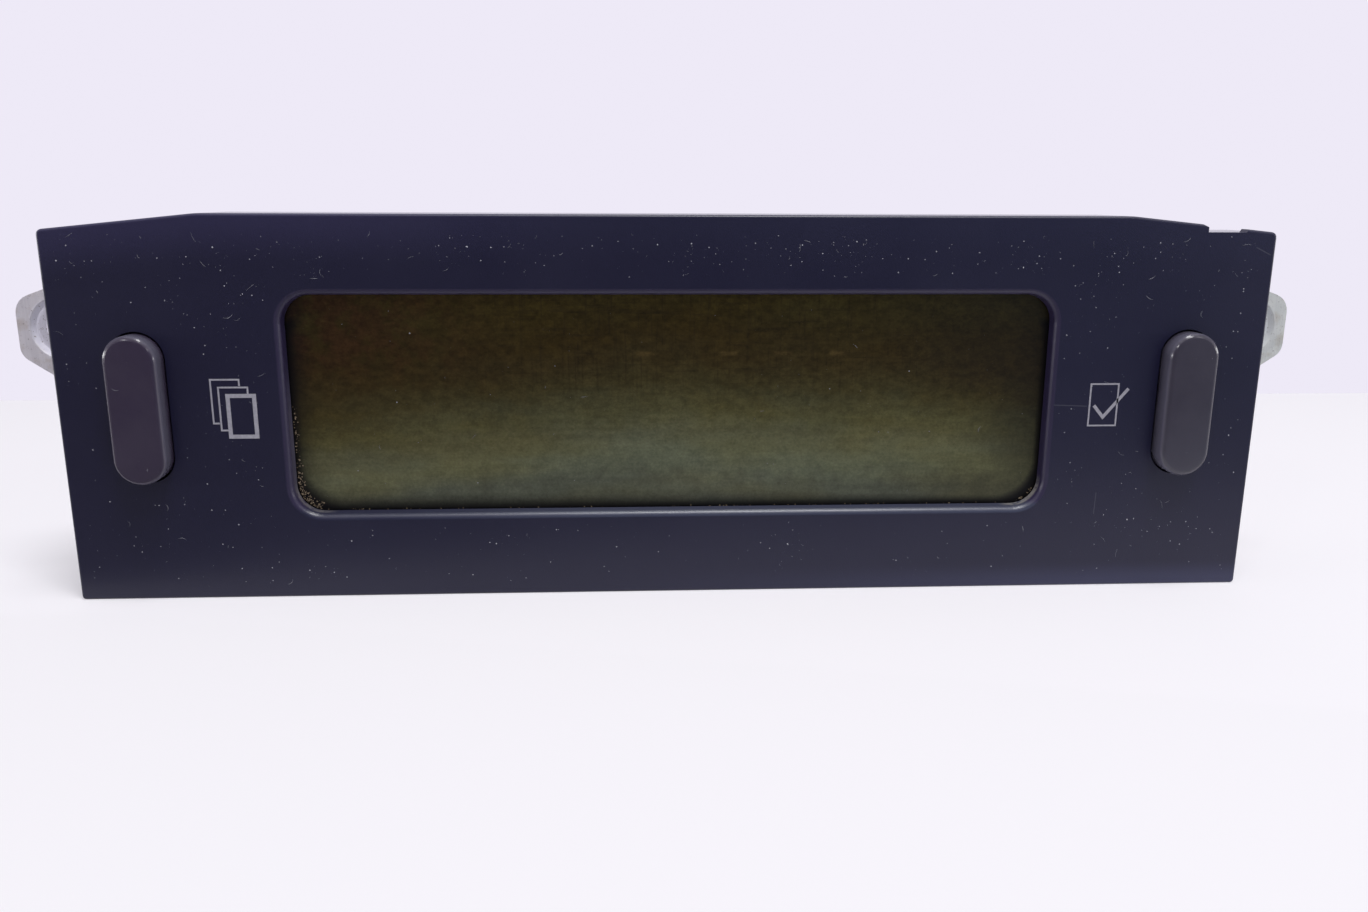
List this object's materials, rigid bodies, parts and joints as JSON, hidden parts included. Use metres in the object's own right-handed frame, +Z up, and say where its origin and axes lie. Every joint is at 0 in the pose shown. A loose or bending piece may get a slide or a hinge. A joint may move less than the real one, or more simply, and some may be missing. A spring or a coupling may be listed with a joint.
{
  "type": "car display screen",
  "caption": "Dashboard display unit: dark moulded panel with an LCD window and two press keys, rear housing and side fixing ears.",
  "frame": {"origin": "middle of the rectangle that the unit covers on the surface it stands on, at the height of its base", "axes": "+X right as seen from the front, +Y back into the dashboard, +Z up; the window faces -Y"},
  "size_m": [0.2112, 0.0384, 0.06],
  "materials": {
    "panel_plastic": "satin moulded plastic, very dark blue-violet",
    "key_plastic": "satin moulded plastic, warm dark grey-violet",
    "housing_plastic": "matte black moulded plastic",
    "connector_plastic": "matte black moulded plastic",
    "foam": "soft black foam or rubber",
    "polariser_film": "glossy dark olive film",
    "lcd_glass": "thin glass with a faint olive tint",
    "white_plastic": "white reflecting plastic",
    "clear_plastic": "clear moulded plastic",
    "lamp_plastic": "small surface-mounted lamps",
    "circuit_board": "green solder-masked laminate",
    "chip_plastic": "matte black package",
    "aluminium_can": "drawn metal can",
    "contact_metal": "tin-plated brass contacts",
    "zinc_steel": "zinc-plated sheet steel, finely striated",
    "screw_steel": "zinc-plated steel"
  },
  "bodies": {
    "chassis": {"front_bezel": "panel_plastic", "window_gasket": "foam", "front_polariser": "polariser_film", "lcd_front_glass": "lcd_glass", "lcd_rear_glass": "lcd_glass", "rear_polariser": "polariser_film", "diffuser_sheet": "white_plastic", "light_guide": "clear_plastic", "reflector_tray": "white_plastic", "upper_contact_strip": "foam", "lower_contact_strip": "foam", "left_light_pipe": "clear_plastic", "right_light_pipe": "clear_plastic", "circuit_board": "circuit_board", "backlight_leds": "lamp_plastic", "symbol_leds": "lamp_plastic", "left_key_switch": "chip_plastic", "right_key_switch": "chip_plastic", "microcontroller": "chip_plastic", "display_driver": "chip_plastic", "memory_chip": "chip_plastic", "voltage_regulator": "chip_plastic", "smoothing_capacitors": "aluminium_can", "filter_coil": "chip_plastic", "crystal": "aluminium_can", "connector_shell": "connector_plastic", "connector_pins": "contact_metal", "rear_housing": "housing_plastic", "left_bracket": "zinc_steel", "right_bracket": "zinc_steel", "board_screws": "screw_steel", "housing_screws": "screw_steel", "bracket_screws": "screw_steel"},
    "left_key": {"left_key": "key_plastic", "left_switch_plunger": "foam"},
    "right_key": {"right_key": "key_plastic", "right_switch_plunger": "foam"}
  },
  "joints": [
    {"name": "left_key_press", "type": "slide", "parent": "chassis", "child": "left_key", "axis": [0, 1, 0], "range_m": [0, 0.0008], "stiffness_N_per_m": 800},
    {"name": "right_key_press", "type": "slide", "parent": "chassis", "child": "right_key", "axis": [0, 1, 0], "range_m": [0, 0.0008], "stiffness_N_per_m": 800}
  ]
}
